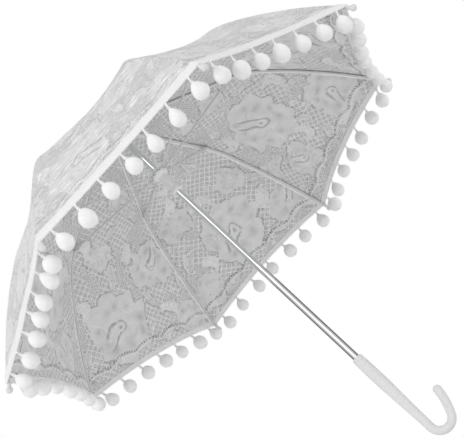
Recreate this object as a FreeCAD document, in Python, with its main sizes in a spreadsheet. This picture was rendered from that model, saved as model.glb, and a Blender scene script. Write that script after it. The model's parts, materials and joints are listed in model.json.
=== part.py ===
import FreeCAD, Part

import math
import os

import Sketcher

# Lace parasol with eight ribs, a sliding runner and a hook handle, in millimetres.
# The origin is the middle of the straight grip, +Z runs up the shaft to the ferrule,
# and the hook opens towards +X. The parasol stands open.

RIB_COUNT = 8
SECTOR = 360.0 / RIB_COUNT
FIRST_AZIMUTH = -SECTOR / 2

SIZES = {
    # heights above the grip's middle
    "hub_height": 312.0,
    "shaft_top": 322.0,
    "shaft_foot": -14.0,
    "grip_top": 29.0,
    "hook_start": -44.8,
    # shaft, notch and runner
    "shaft_radius": 2.8,
    "shaft_wall": 0.45,
    "slide_gap": 0.08,
    "pivot_radius": 5.0,
    "core_radius": 3.45,
    "notch_radius": 7.0,
    "notch_cover": 3.0,
    "notch_skirt": 2.6,
    "slot_width": 1.6,
    "slot_roof": 1.7,
    "wire_radius": 0.4,
    "wire_gap": 0.06,
    "runner_length": 23.5,
    "runner_radius": 4.3,
    "runner_foot_radius": 4.9,
    "runner_foot": 2.5,
    "window_width": 1.8,
    "window_rise": 3.5,
    # ribs and stretchers
    "link_length": 106.3,
    "open_slope": 16.7,
    "rod_radius": 1.0,
    "strut_radius": 0.9,
    "eye_radius": 1.4,
    "eye_thickness": 1.2,
    "eye_hole": 0.55,
    "rod_start": 4.0,
    "bend_radius": 70.0,
    "bend_turn": 25.3,
    "sweep_radius": 416.0,
    "sweep_turn": 14.0,
    "rod_end": 3.0,
    "fork_gap": 2.3,
    "fork_width": 3.5,
    "fork_radius": 1.25,
    "fork_throat": 4.4,
    "fork_length": 7.0,
    "rivet_radius": 0.42,
    "rivet_hole": 0.5,
    "rivet_head": 1.0,
    "rivet_cap": 0.45,
    "rivet_gap": 0.05,
    "tip_ball": 2.65,
    "tip_centre": 5.0,
    "tip_neck": 1.55,
    # catches and stop
    "spring_thickness": 0.9,
    "spring_slot": 1.3,
    "spring_length": 16.0,
    "spring_proud": 1.9,
    "spring_low_proud": 1.1,
    "spring_wedge": 2.7,
    "spring_shoulder": 1.2,
    "spring_flat": 3.5,
    "catch_play": 1.2,
    "spring_depth": 1.6,
    "spring_gap": 0.4,
    "pin_radius": 0.7,
    "pin_length": 8.0,
    # handle
    "grip_radius": 4.65,
    "grip_neck": 3.9,
    "grip_lower": 3.75,
    "limb_radius": 3.3,
    "hook_radius": 9.0,
    "hook_turn": 150.0,
    "limb_sweep": 50.0,
    "limb_turn": 27.0,
    "limb_round": 3.1,
    # crown
    "cap_radius": 11.0,
    "cap_thickness": 1.0,
    "cap_edge_rise": 2.2,
    "ferrule_radius": 3.9,
    "ferrule_flange": 5.6,
    "ferrule_tip": 2.6,
    "ferrule_length": 13.0,
    # canopy and trim
    "lace_start": 8.5,
    "lace_lift": 1.9,
    "lace_hem_back": 2.0,
    "lace_thickness": 0.8,
    "seam_gap": 0.16,
    "hem_dip": 7.0,
    "hem_lift": 2.8,
    "gore_sag": 5.0,
    "sag_start": 20.0,
    "tape_width": 8.0,
    "tape_gap": 0.06,
    "tape_thickness": 0.8,
    "pom_radius": 6.2,
    "pom_drop": 10.5,
    "pom_inset": 3.5,
    "stem_radius": 0.9,
}
POMS_PER_SIDE = 7

doc = FreeCAD.newDocument("LaceParasol")
sheet = doc.addObject("Spreadsheet::Sheet", "Sheet")
for row, (alias, number) in enumerate(SIZES.items(), start=1):
    sheet.set("A%d" % row, alias)
    sheet.set("B%d" % row, str(number))
    sheet.setAlias("B%d" % row, alias)
doc.recompute()

NODES = []


# ---------------------------------------------------------------- formulas

def factor_value(word):
    """Value of one product such as 2*wall."""
    total = 1.0
    for name in word.split("*"):
        total *= SIZES[name] if name in SIZES else float(name)
    return total


def value(formula):
    """Value of a sum of products of sheet names and numbers."""
    total = 0.0
    sign = 1.0
    for word in formula.split():
        if word in "+-":
            sign = 1.0 if word == "+" else -1.0
        else:
            total += sign * factor_value(word)
    return total


def expression(formula):
    """The same formula as a FreeCAD expression on the sheet."""
    words = []
    for word in formula.split():
        names = ["Sheet." + name if name in SIZES else name for name in word.split("*")]
        words.append(" * ".join(names))
    return " ".join(words)


def bind(item, prop, formula):
    item.setExpression(prop, expression(formula))


# ---------------------------------------------------------------- sketches

def new_body(label):
    body = doc.addObject("PartDesign::Body", "Body_" + label)
    body.Label = label
    NODES.append(body)
    return body


def origin_item(body, role):
    return next(item for item in body.Origin.OriginFeatures if item.Role == role)


def new_sketch(body, plane, offset=None, turn=0.0):
    """A sketch on one of the body's origin planes.

    It is moved along its normal by `offset` and turned about its own vertical by `turn`.
    """
    sketch = body.newObject("Sketcher::SketchObject", body.Name + "_sketch")
    sketch.AttachmentSupport = [(origin_item(body, plane), "")]
    sketch.MapMode = "FlatFace"
    upright = FreeCAD.Rotation(FreeCAD.Vector(0, 1, 0), turn)
    sketch.AttachmentOffset = FreeCAD.Placement(FreeCAD.Vector(0, 0, 0), upright)
    if offset:
        bind(sketch, "AttachmentOffset.Base.z", offset)
    return sketch


def place_point(sketch, edge, end, along, formula):
    """Ties one coordinate of a point to the sheet."""
    number = value(formula)
    if abs(number) < 1e-9:
        axis = -2 if along == "DistanceX" else -1
        sketch.addConstraint(Sketcher.Constraint("PointOnObject", edge, end, axis))
        return
    if number > 0:
        rule = Sketcher.Constraint(along, -1, 1, edge, end, number)
        text = expression(formula)
    else:
        rule = Sketcher.Constraint(along, edge, end, -1, 1, -number)
        text = "-(%s)" % expression(formula)
    index = sketch.addConstraint(rule)
    sketch.setExpression("Constraints[%d]" % index, text)


def draw_outline(sketch, corners):
    """A closed outline of straight sides through corners given as formulas."""
    points = [FreeCAD.Vector(value(x), value(y), 0) for x, y in corners]
    count = len(points)
    first = sketch.GeometryCount
    for i in range(count):
        sketch.addGeometry(Part.LineSegment(points[i], points[(i + 1) % count]), False)
    for i in range(count):
        following = first + (i + 1) % count
        sketch.addConstraint(Sketcher.Constraint("Coincident", first + i, 2, following, 1))
    for i, (x, y) in enumerate(corners):
        place_point(sketch, first + i, 1, "DistanceX", x)
        place_point(sketch, first + i, 1, "DistanceY", y)


def draw_circle(sketch, radius, x="0", y="0"):
    centre = FreeCAD.Vector(value(x), value(y), 0)
    edge = sketch.addGeometry(Part.Circle(centre, FreeCAD.Vector(0, 0, 1), value(radius)), False)
    place_point(sketch, edge, 3, "DistanceX", x)
    place_point(sketch, edge, 3, "DistanceY", y)
    index = sketch.addConstraint(Sketcher.Constraint("Radius", edge, value(radius)))
    sketch.setExpression("Constraints[%d]" % index, expression(radius))


def draw_eye(sketch, length, radius):
    """A plate outline: round about the origin, square at the far end."""
    far = value(length)
    half = value(radius)
    top = Part.LineSegment(FreeCAD.Vector(0, half, 0), FreeCAD.Vector(far, half, 0))
    end = Part.LineSegment(FreeCAD.Vector(far, half, 0), FreeCAD.Vector(far, -half, 0))
    foot = Part.LineSegment(FreeCAD.Vector(far, -half, 0), FreeCAD.Vector(0, -half, 0))
    circle = Part.Circle(FreeCAD.Vector(0, 0, 0), FreeCAD.Vector(0, 0, 1), half)
    nose = Part.ArcOfCircle(circle, math.pi / 2, 3 * math.pi / 2)
    for edge in (top, end, foot, nose):
        sketch.addGeometry(edge, False)
    sketch.addConstraint(Sketcher.Constraint("Coincident", 0, 2, 1, 1))
    sketch.addConstraint(Sketcher.Constraint("Coincident", 1, 2, 2, 1))
    sketch.addConstraint(Sketcher.Constraint("Coincident", 2, 2, 3, 2))
    sketch.addConstraint(Sketcher.Constraint("Coincident", 3, 1, 0, 1))
    sketch.addConstraint(Sketcher.Constraint("Coincident", 3, 3, -1, 1))
    place_point(sketch, 0, 1, "DistanceX", "0")
    place_point(sketch, 0, 1, "DistanceY", radius)
    place_point(sketch, 1, 1, "DistanceX", length)
    place_point(sketch, 1, 1, "DistanceY", radius)
    place_point(sketch, 2, 1, "DistanceX", length)
    place_point(sketch, 2, 1, "DistanceY", "0 - " + radius)


# ---------------------------------------------------------------- features

def feature(body, kind, sketch, **settings):
    """A sketched feature; the sketch is its profile."""
    item = body.newObject("PartDesign::" + kind, body.Name + "_" + kind)
    item.Profile = sketch
    for name, setting in settings.items():
        setattr(item, name, setting)
    return item


def revolve(body, corners, cut=False, plane="XZ_Plane", axis="V_Axis"):
    sketch = new_sketch(body, plane)
    draw_outline(sketch, corners)
    kind = "Groove" if cut else "Revolution"
    item = feature(body, kind, sketch, ReferenceAxis=(sketch, [axis]), Angle=360.0)
    sketch.Visibility = False
    return item


def pad_both_ways(body, sketch, thickness):
    item = feature(body, "Pad", sketch, SideType="Symmetric")
    bind(item, "Length", thickness)
    return item


def pocket_both_ways(body, sketch, thickness):
    item = feature(body, "Pocket", sketch, SideType="Symmetric")
    bind(item, "Length", thickness)
    return item


def pipe(body, profile, path):
    item = body.newObject("PartDesign::AdditivePipe", body.Name + "_pipe")
    item.Profile = profile
    item.Spine = (path, ["Edge%d" % (i + 1) for i in range(path.GeometryCount)])
    return item


def polar_copies(body, item):
    pattern = body.newObject("PartDesign::PolarPattern", body.Name + "_pattern")
    pattern.Originals = [item]
    pattern.Axis = (origin_item(body, "Z_Axis"), [""])
    pattern.Angle = 360.0
    pattern.Occurrences = RIB_COUNT
    body.Tip = pattern
    return pattern


# ---------------------------------------------------------------- places

def azimuth(number):
    return FIRST_AZIMUTH + SECTOR * (number - 1)


def turned(axis, degrees):
    return FreeCAD.Rotation(axis, degrees)


def link_place(number, along, tilt):
    """Frame on rib `number`, with X along a link tilted down by `tilt` from outward."""
    spin = turned(FreeCAD.Vector(0, 0, 1), azimuth(number))
    lean = turned(FreeCAD.Vector(0, 1, 0), tilt)
    return FreeCAD.Placement(spin.multVec(along), spin.multiply(lean))


OPEN_SLOPE = math.radians(SIZES["open_slope"])
LINK_REACH = SIZES["link_length"] * math.cos(OPEN_SLOPE)
LINK_DROP = SIZES["link_length"] * math.sin(OPEN_SLOPE)
HUB_PIVOT = FreeCAD.Vector(SIZES["pivot_radius"], 0, SIZES["hub_height"])
ELBOW = HUB_PIVOT + FreeCAD.Vector(LINK_REACH, 0, -LINK_DROP)
RUNNER_HEIGHT = SIZES["hub_height"] - 2 * LINK_DROP


# ---------------------------------------------------------------- shaft and handle

def make_shaft():
    """Chromed steel tube with two slots in its back for the catches."""
    body = new_body("shaft_tube")
    sketch = new_sketch(body, "XY_Plane", "shaft_foot")
    draw_circle(sketch, "shaft_radius")
    draw_circle(sketch, "shaft_radius - shaft_wall")
    bind(feature(body, "Pad", sketch), "Length", "shaft_top - shaft_foot")
    for foot in CATCH_FEET:
        slot = new_sketch(body, "XZ_Plane")
        base = foot - SIZES["spring_gap"]
        head = foot + SIZES["spring_length"] + SIZES["spring_gap"]
        half = "0.5*spring_slot"
        outline = [("0 - " + half, str(base)), (half, str(base)),
                   (half, str(head)), ("0 - " + half, str(head))]
        draw_outline(slot, outline)
        cut = feature(body, "Pocket", slot)
        bind(cut, "Length", "shaft_radius + 1")
    pin_hole = new_sketch(body, "XZ_Plane")
    draw_circle(pin_hole, "pin_radius", "0", str(PIN_HEIGHT))
    pocket_both_ways(body, pin_hole, "pin_length")
    return body


def make_handle():
    """White moulded handle: a swelling straight grip that bends into an open hook."""
    body = new_body("handle")
    sketch = new_sketch(body, "XZ_Plane")
    rim = ["grip_neck", "grip_radius", "grip_lower", "limb_radius"]
    bore = "shaft_radius"
    corners = [(bore, "shaft_foot"), ("0", "shaft_foot"), ("0", "hook_start"),
               (rim[3], "hook_start"), (rim[2], "0.5*hook_start"), (rim[1], "0"),
               (rim[1], "0.6*grip_top"), (rim[0] + " + 0.5", "grip_top - 2"),
               (rim[0], "grip_top - 0.4"), (rim[0] + " - 0.4", "grip_top"),
               (bore, "grip_top")]
    draw_outline(sketch, corners)
    feature(body, "Revolution", sketch, ReferenceAxis=(sketch, ["V_Axis"]), Angle=360.0)
    doc.recompute()

    path = new_sketch(body, "XZ_Plane")
    start = FreeCAD.Vector(0, SIZES["hook_start"], 0)
    bend_centre = start + FreeCAD.Vector(SIZES["hook_radius"], 0, 0)
    turn = math.radians(SIZES["hook_turn"])
    up = FreeCAD.Vector(0, 0, 1)
    bend = Part.ArcOfCircle(Part.Circle(bend_centre, up, SIZES["hook_radius"]),
                            math.pi, math.pi + turn)
    lean = turn - math.pi
    inward = FreeCAD.Vector(math.cos(lean), math.sin(lean), 0)
    limb_centre = bend_centre + inward * (SIZES["hook_radius"] - SIZES["limb_sweep"])
    limb_end = lean + math.radians(SIZES["limb_turn"])
    limb = Part.ArcOfCircle(Part.Circle(limb_centre, up, SIZES["limb_sweep"]), lean, limb_end)
    path.addGeometry(bend, False)
    path.addGeometry(limb, False)
    path.addConstraint(Sketcher.Constraint("Tangent", 0, 2, 1, 1))
    place_point(path, 0, 1, "DistanceX", "0")
    place_point(path, 0, 1, "DistanceY", "hook_start")
    place_point(path, 0, 3, "DistanceX", "hook_radius")
    place_point(path, 0, 3, "DistanceY", "hook_start")
    index = path.addConstraint(Sketcher.Constraint("Radius", 1, SIZES["limb_sweep"]))
    path.setExpression("Constraints[%d]" % index, expression("limb_sweep"))

    section = new_sketch(body, "XY_Plane", "hook_start")
    draw_circle(section, "limb_radius")
    hook = pipe(body, section, path)
    doc.recompute()
    tip = FreeCAD.Vector(limb_centre.x + SIZES["limb_sweep"] * math.cos(limb_end), 0,
                         limb_centre.y + SIZES["limb_sweep"] * math.sin(limb_end))
    reach = 1.2 * SIZES["limb_radius"]
    rims = ["Edge%d" % (i + 1) for i, edge in enumerate(hook.Shape.Edges)
            if edge.Closed and edge.CenterOfMass.distanceToPoint(tip) < reach]
    round_end = body.newObject("PartDesign::Fillet", "handle_round_end")
    round_end.Base = (hook, rims[:1])
    bind(round_end, "Radius", "limb_round")
    return body


def make_ferrule():
    """Short tapered plastic cap pushed over the shaft's top end."""
    body = new_body("ferrule")
    foot = "hub_height + notch_cover + cap_thickness + 0.5"
    top = foot + " + ferrule_length"
    corners = [("0", "shaft_top"), ("shaft_radius", "shaft_top"), ("shaft_radius", foot),
               ("ferrule_flange", foot), ("ferrule_flange", foot + " + 1.2"),
               ("ferrule_radius", foot + " + 2.2"),
               ("ferrule_tip", top + " - 6"), ("ferrule_tip", top + " - 0.8"),
               ("ferrule_tip - 0.8", top), ("0", top)]
    revolve(body, corners)
    return body


def make_top_notch():
    body = new_body("top_notch")
    top = "hub_height + notch_cover"
    foot = "hub_height - notch_skirt"
    revolve(body, [("shaft_radius", foot), ("notch_radius - 0.6", foot),
                   ("notch_radius", foot + " + 0.6"), ("notch_radius", top + " - 0.8"),
                   ("notch_radius - 0.8", top), ("shaft_radius", top)])
    groove_and_slots(body, "hub_height", foot + " - 1", "hub_height + slot_roof")
    return body


def groove_and_slots(body, pivot, slot_low, slot_high):
    """Cuts the wire groove and the eight rib slots about the pivot height."""
    inner = "pivot_radius - wire_radius - wire_gap"
    low = pivot + " - wire_radius - wire_gap"
    high = pivot + " + wire_radius + wire_gap"
    outer = "notch_radius + 1"
    revolve(body, [(inner, low), (outer, low), (outer, high), (inner, high)], cut=True)
    sketch = new_sketch(body, "XZ_Plane", turn=FIRST_AZIMUTH)
    draw_outline(sketch, [("core_radius", slot_low), (outer, slot_low),
                          (outer, slot_high), ("core_radius", slot_high)])
    slot = pocket_both_ways(body, sketch, "slot_width")
    polar_copies(body, slot)


def make_runner():
    """Grey plastic runner: slotted collar above a long sleeve, with a slot for the catches."""
    body = new_body("runner")
    pivot = str(RUNNER_HEIGHT)
    top = pivot + " + notch_skirt"
    foot = pivot + " - runner_length"
    bore = "shaft_radius + slide_gap"
    revolve(body, [(bore, foot), ("runner_foot_radius - 0.5", foot),
                   ("runner_foot_radius", foot + " + 0.5"),
                   ("runner_foot_radius", foot + " + runner_foot"),
                   ("runner_radius", foot + " + runner_foot + 1"),
                   ("runner_radius", pivot + " - notch_cover - 2"),
                   ("notch_radius - 0.4", pivot + " - notch_cover"),
                   ("notch_radius", pivot + " - notch_cover + 0.6"),
                   ("notch_radius", top + " - 0.6"),
                   ("notch_radius - 0.6", top), (bore, top)])
    groove_and_slots(body, pivot, pivot + " - slot_roof", top + " + 1")
    window = new_sketch(body, "XZ_Plane")
    low = foot + " + window_rise"
    high = top + " + 1"
    half = "0.5*window_width"
    draw_outline(window, [("0 - " + half, low), (half, low), (half, high), ("0 - " + half, high)])
    cut = feature(body, "Pocket", window)
    bind(cut, "Length", "runner_foot_radius + 1")
    return body


def make_tie_wire(label, height):
    """Wire ring that strings the rib or stretcher eyes in their slots."""
    ring = doc.addObject("Part::Torus", "Ring_" + label)
    ring.Label = label
    bind(ring, "Radius1", "pivot_radius")
    bind(ring, "Radius2", "wire_radius")
    ring.Placement = FreeCAD.Placement(FreeCAD.Vector(0, 0, height), FreeCAD.Rotation())
    NODES.append(ring)
    return ring


def make_catch(label, foot, points_up):
    """Sprung steel wedge that stands out of the shaft's back.

    Its square shoulder faces up under the open runner, or down over the closed one's foot.
    """
    body = new_body(label)
    sketch = new_sketch(body, "YZ_Plane")
    back = "shaft_radius - spring_depth"
    face = "shaft_radius + spring_proud"
    low = str(foot)
    high = "%s + spring_length" % foot
    if points_up:
        corners = [(back, low), ("shaft_radius - 0.2", low),
                   ("shaft_radius - 0.2", low + " + spring_flat"), (face, high + " - 2.2"),
                   (face, high), (back, high)]
    else:
        face = "shaft_radius + spring_low_proud"
        corners = [(back, low), (face, low), (face, low + " + spring_shoulder"),
                   ("shaft_radius - 0.2", low + " + spring_wedge"),
                   ("shaft_radius - 0.2", high), (back, high)]
    draw_outline(sketch, corners)
    pad_both_ways(body, sketch, "spring_thickness")
    return body


def make_stop_pin():
    """Cross pin that stops the runner above its open place."""
    pin = doc.addObject("Part::Cylinder", "Cylinder_stop_pin")
    pin.Label = "stop_pin"
    bind(pin, "Radius", "pin_radius")
    bind(pin, "Height", "pin_length")
    across = turned(FreeCAD.Vector(1, 0, 0), 90)
    base = FreeCAD.Vector(0, SIZES["pin_length"] / 2, PIN_HEIGHT)
    pin.Placement = FreeCAD.Placement(base, across)
    NODES.append(pin)
    return pin


def make_canopy_cap():
    """Dished rosette that covers the lace where the panels meet."""
    body = new_body("canopy_cap")
    under = "hub_height + notch_cover + 0.3"
    edge = "hub_height + cap_edge_rise"
    corners = [("shaft_radius", under), ("notch_radius + 0.4", under), ("cap_radius", edge),
               ("cap_radius + 0.3", edge + " + 0.5*cap_thickness"),
               ("cap_radius - 0.2", edge + " + cap_thickness"),
               ("notch_radius + 0.6", under + " + cap_thickness"),
               ("ferrule_flange + 0.3", under + " + cap_thickness"),
               ("ferrule_flange + 0.3", under + " + cap_thickness - 0.4"),
               ("shaft_radius", under + " + cap_thickness - 0.4")]
    revolve(body, corners)
    return body


# ---------------------------------------------------------------- ribs and stretchers

def rib_path(sketch):
    """Centre line of a rib in its own frame: straight to the elbow, then two arcs down."""
    up = FreeCAD.Vector(0, 0, 1)
    elbow = FreeCAD.Vector(SIZES["link_length"], 0, 0)
    bend_centre = elbow - FreeCAD.Vector(0, SIZES["bend_radius"], 0)
    bend_turn = math.radians(SIZES["bend_turn"])
    quarter = math.pi / 2
    bend = Part.ArcOfCircle(Part.Circle(bend_centre, up, SIZES["bend_radius"]),
                            quarter - bend_turn, quarter)
    outward = FreeCAD.Vector(math.sin(bend_turn), math.cos(bend_turn), 0)
    sweep_centre = bend_centre - outward * (SIZES["sweep_radius"] - SIZES["bend_radius"])
    overrun = SIZES["rod_end"] / SIZES["sweep_radius"]
    sweep_turn = math.radians(SIZES["sweep_turn"]) + overrun
    sweep = Part.ArcOfCircle(Part.Circle(sweep_centre, up, SIZES["sweep_radius"]),
                             quarter - bend_turn - sweep_turn, quarter - bend_turn)
    start = FreeCAD.Vector(SIZES["rod_start"], 0, 0)
    sketch.addGeometry(Part.LineSegment(start, elbow), False)
    sketch.addGeometry(bend, False)
    sketch.addGeometry(sweep, False)
    sketch.addConstraint(Sketcher.Constraint("Tangent", 0, 2, 1, 2))
    sketch.addConstraint(Sketcher.Constraint("Tangent", 1, 1, 2, 2))
    place_point(sketch, 0, 1, "DistanceX", "rod_start")
    place_point(sketch, 0, 1, "DistanceY", "0")
    place_point(sketch, 0, 2, "DistanceX", "link_length")
    place_point(sketch, 0, 2, "DistanceY", "0")
    for edge, name in ((1, "bend_radius"), (2, "sweep_radius")):
        index = sketch.addConstraint(Sketcher.Constraint("Radius", edge, SIZES[name]))
        sketch.setExpression("Constraints[%d]" % index, expression(name))


def make_rib(number):
    """Steel rib with a flat eye at the hub and a rivet hole at the elbow."""
    body = new_body("rib_%d" % number)
    eye = new_sketch(body, "XZ_Plane")
    draw_eye(eye, "rod_start + 1", "eye_radius")
    pad_both_ways(body, eye, "eye_thickness")
    path = new_sketch(body, "XZ_Plane")
    rib_path(path)
    section = new_sketch(body, "YZ_Plane", "rod_start")
    draw_circle(section, "rod_radius")
    pipe(body, section, path)
    holes = new_sketch(body, "XZ_Plane")
    draw_circle(holes, "eye_hole")
    draw_circle(holes, "rivet_radius", "link_length", "0")
    pocket_both_ways(body, holes, "fork_width")
    body.Placement = link_place(number, HUB_PIVOT, SIZES["open_slope"])
    return body


def make_stretcher(number):
    """Steel stretcher: fork about the rib at the elbow, flat eye at the runner."""
    body = new_body("stretcher_%d" % number)
    fork = new_sketch(body, "XZ_Plane")
    draw_eye(fork, "fork_length", "fork_radius")
    pad_both_ways(body, fork, "fork_width")
    throat = new_sketch(body, "XZ_Plane")
    low = "0 - fork_radius - 1"
    draw_outline(throat, [(low, low), ("fork_throat", low),
                          ("fork_throat", "fork_radius + 1"), (low, "fork_radius + 1")])
    pocket_both_ways(body, throat, "fork_gap")
    rod = new_sketch(body, "YZ_Plane", "fork_length - 1")
    draw_circle(rod, "strut_radius")
    bind(feature(body, "Pad", rod), "Length", "link_length - fork_length + 1 - rod_start")
    plate = new_sketch(body, "XZ_Plane")
    back = "link_length - rod_start - 1"
    draw_outline(plate, [(back, "0 - 0.8"), ("link_length", "0 - 0.8"),
                         ("link_length", "0.8"), (back, "0.8")])
    pad_both_ways(body, plate, "eye_thickness")
    eye = new_sketch(body, "XZ_Plane")
    draw_circle(eye, "eye_radius", "link_length", "0")
    pad_both_ways(body, eye, "eye_thickness")
    holes = new_sketch(body, "XZ_Plane")
    draw_circle(holes, "rivet_hole")
    draw_circle(holes, "eye_hole", "link_length", "0")
    pocket_both_ways(body, holes, "fork_width + 1")
    body.Placement = link_place(number, ELBOW, 180 - SIZES["open_slope"])
    return body


def make_rivet(number):
    """Headed rivet fixed in the rib, on which the stretcher's fork turns."""
    body = new_body("rivet_%d" % number)
    inner = "0.5*fork_width + rivet_gap"
    outer = inner + " + rivet_cap"
    corners = [("0", "0 - 0.5*fork_width - rivet_gap - rivet_cap"),
               ("rivet_head", "0 - 0.5*fork_width - rivet_gap - rivet_cap"),
               ("rivet_head", "0 - 0.5*fork_width - rivet_gap"),
               ("rivet_radius", "0 - 0.5*fork_width - rivet_gap"),
               ("rivet_radius", inner), ("rivet_head", inner), ("rivet_head", outer),
               ("0", outer)]
    revolve(body, corners, plane="XY_Plane")
    body.Placement = link_place(number, ELBOW, SIZES["open_slope"])
    return body


def rib_point(turn):
    """Point of the rib's curve beyond the elbow, in the parasol's radial plane."""
    bend_turn = math.radians(SIZES["bend_turn"])
    first = min(turn, bend_turn)
    x = SIZES["link_length"] + SIZES["bend_radius"] * math.sin(first)
    y = SIZES["bend_radius"] * (math.cos(first) - 1)
    if turn > bend_turn:
        x += SIZES["sweep_radius"] * (math.sin(turn) - math.sin(bend_turn))
        y += SIZES["sweep_radius"] * (math.cos(turn) - math.cos(bend_turn))
    return on_rib(x, y)


def on_rib(x, y):
    """From a rib's own frame to radius and height."""
    radius = SIZES["pivot_radius"] + x * math.cos(OPEN_SLOPE) + y * math.sin(OPEN_SLOPE)
    height = SIZES["hub_height"] - x * math.sin(OPEN_SLOPE) + y * math.cos(OPEN_SLOPE)
    return radius, height


TIP_TURN = math.radians(SIZES["bend_turn"] + SIZES["sweep_turn"])
GORE_LEAN = OPEN_SLOPE + 0.5 * TIP_TURN


def make_rib_tip(number):
    """Metal ball with a neck that takes the rib's end and holds the lace corner."""
    body = new_body("rib_tip_%d" % number)
    ball = SIZES["tip_ball"]
    centre = SIZES["tip_centre"]
    neck = SIZES["tip_neck"]
    neck_end = centre - math.sqrt(ball * ball - neck * neck)
    sketch = new_sketch(body, "XZ_Plane")
    up = FreeCAD.Vector(0, 0, 1)
    circle = Part.Circle(FreeCAD.Vector(centre, 0, 0), up, ball)
    start = math.atan2(neck, neck_end - centre)
    sketch.addGeometry(Part.ArcOfCircle(circle, 0, start), False)
    outline = [(neck_end, neck), (0, neck), (0, SIZES["rod_radius"]),
               (SIZES["rod_end"], SIZES["rod_radius"]), (SIZES["rod_end"], 0),
               (centre + ball, 0)]
    points = [FreeCAD.Vector(x, y, 0) for x, y in outline]
    for a, b in zip(points, points[1:]):
        sketch.addGeometry(Part.LineSegment(a, b), False)
    for i in range(5):
        sketch.addConstraint(Sketcher.Constraint("Coincident", i, 2, i + 1, 1))
    sketch.addConstraint(Sketcher.Constraint("Coincident", 5, 2, 0, 1))
    index = sketch.addConstraint(Sketcher.Constraint("Radius", 0, ball))
    sketch.setExpression("Constraints[%d]" % index, expression("tip_ball"))
    place_point(sketch, 0, 3, "DistanceX", "tip_centre")
    place_point(sketch, 0, 3, "DistanceY", "0")
    place_point(sketch, 1, 2, "DistanceX", "0")
    place_point(sketch, 1, 2, "DistanceY", "tip_neck")
    place_point(sketch, 1, 1, "DistanceY", "tip_neck")
    place_point(sketch, 3, 1, "DistanceX", "0")
    place_point(sketch, 3, 1, "DistanceY", "rod_radius")
    place_point(sketch, 4, 1, "DistanceX", "rod_end")
    place_point(sketch, 4, 1, "DistanceY", "rod_radius")
    place_point(sketch, 5, 1, "DistanceX", "rod_end")
    place_point(sketch, 5, 1, "DistanceY", "0")
    place_point(sketch, 5, 2, "DistanceY", "0")
    feature(body, "Revolution", sketch, ReferenceAxis=(sketch, ["H_Axis"]), Angle=360.0)
    radius, height = rib_point(TIP_TURN)
    slope = SIZES["open_slope"] + math.degrees(TIP_TURN)
    body.Placement = link_place(number, FreeCAD.Vector(radius, 0, height), slope)
    return body


# ---------------------------------------------------------------- lace and trim

def lifted(turn, lift):
    """Point `lift` above the rib's centre line where it has turned down by `turn`."""
    radius, height = rib_point(turn)
    lean = turn + OPEN_SLOPE
    return radius + lift * math.sin(lean), height + lift * math.cos(lean)


def canopy_line(lift):
    """Radius and height along the lace over a rib, from under the cap to the hem."""
    first = (SIZES["lace_start"] - SIZES["pivot_radius"]) / math.cos(OPEN_SLOPE)
    last = SIZES["link_length"]
    line = [on_rib(first + (last - first) * step / 4, lift) for step in range(5)]
    bend_turn = math.radians(SIZES["bend_turn"])
    hem_turn = TIP_TURN - SIZES["lace_hem_back"] / SIZES["sweep_radius"]
    turns = [bend_turn * step / 4 for step in (1, 2, 3, 4)]
    turns += [bend_turn + (hem_turn - bend_turn) * step / 4 for step in (1, 2, 3, 4)]
    return line + [lifted(turn, lift) for turn in turns]


def tape_line(lift):
    """The last stretch of the canopy line, where the trim's tape is sewn."""
    start = TIP_TURN - SIZES["tape_width"] / SIZES["sweep_radius"]
    return [lifted(start + (TIP_TURN - start) * step / 2, lift) for step in range(3)]


def hem_share(radius):
    """How much of the hem's inward dip a point at this radius takes."""
    return max(0.0, (radius - 0.5 * rib_point(TIP_TURN)[0]) / (0.5 * rib_point(TIP_TURN)[0])) ** 2


def sag_share(radius):
    """How much of the gore's sag between two ribs a point at this radius takes."""
    reach = (radius - SIZES["sag_start"]) / (rib_point(TIP_TURN)[0] - SIZES["sag_start"])
    return math.sin(math.pi * min(1.0, max(0.0, reach))) ** 2


def across(point, side):
    """The point's place on the rib plane (side 0) or half-way to the next rib (side +1, -1)."""
    radius, height = point
    if side == 0:
        return FreeCAD.Vector(radius, 0, height)
    half = math.radians(SECTOR / 2)
    share = hem_share(radius)
    sag = SIZES["gore_sag"] * sag_share(radius)
    middle = radius * math.cos(half) - SIZES["hem_dip"] * share - sag * math.sin(GORE_LEAN)
    height = height + SIZES["hem_lift"] * share - sag * math.cos(GORE_LEAN)
    x = middle * math.cos(half) + SIZES["seam_gap"] * math.sin(half)
    y = middle * math.sin(half) - SIZES["seam_gap"] * math.cos(half)
    return FreeCAD.Vector(x, side * y, height)


def strip_section(lower, upper, side):
    """Closed section of a thin sheet in the rib plane or half-way to the next rib."""
    under = Part.BSplineCurve()
    under.interpolate([across(point, side) for point in lower])
    over = Part.BSplineCurve()
    over.interpolate([across(point, side) for point in upper])
    inner_end = Part.makeLine(across(lower[0], side), across(upper[0], side))
    outer_end = Part.makeLine(across(lower[-1], side), across(upper[-1], side))
    return Part.Wire(Part.__sortEdges__([under.toShape(), outer_end, over.toShape(), inner_end]))


def sheet_solid(lower, upper):
    sections = [strip_section(lower, upper, side) for side in (-1, 0, 1)]
    return Part.makeLoft(sections, True, True)


def add_shape(label, shape, number):
    item = doc.addObject("Part::Feature", "Shape_" + label)
    item.Label = label
    item.Shape = shape
    item.Placement = link_place(number, FreeCAD.Vector(0, 0, 0), 0)
    NODES.append(item)
    return item


def make_lace_panel(number):
    """Lace over one rib, reaching half-way to the ribs on each side."""
    lift = SIZES["lace_lift"]
    lower = canopy_line(lift)
    upper = canopy_line(lift + SIZES["lace_thickness"])
    return add_shape("lace_panel_%d" % number, sheet_solid(lower, upper), number)


def pom_shares(side):
    """Places of the pom-poms from the rib's corner (0) to the middle of the side (1)."""
    shares = [(2 * k + 1) / POMS_PER_SIDE for k in range(POMS_PER_SIDE // 2)]
    if side > 0:
        shares.append(1.0)
    return shares


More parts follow.
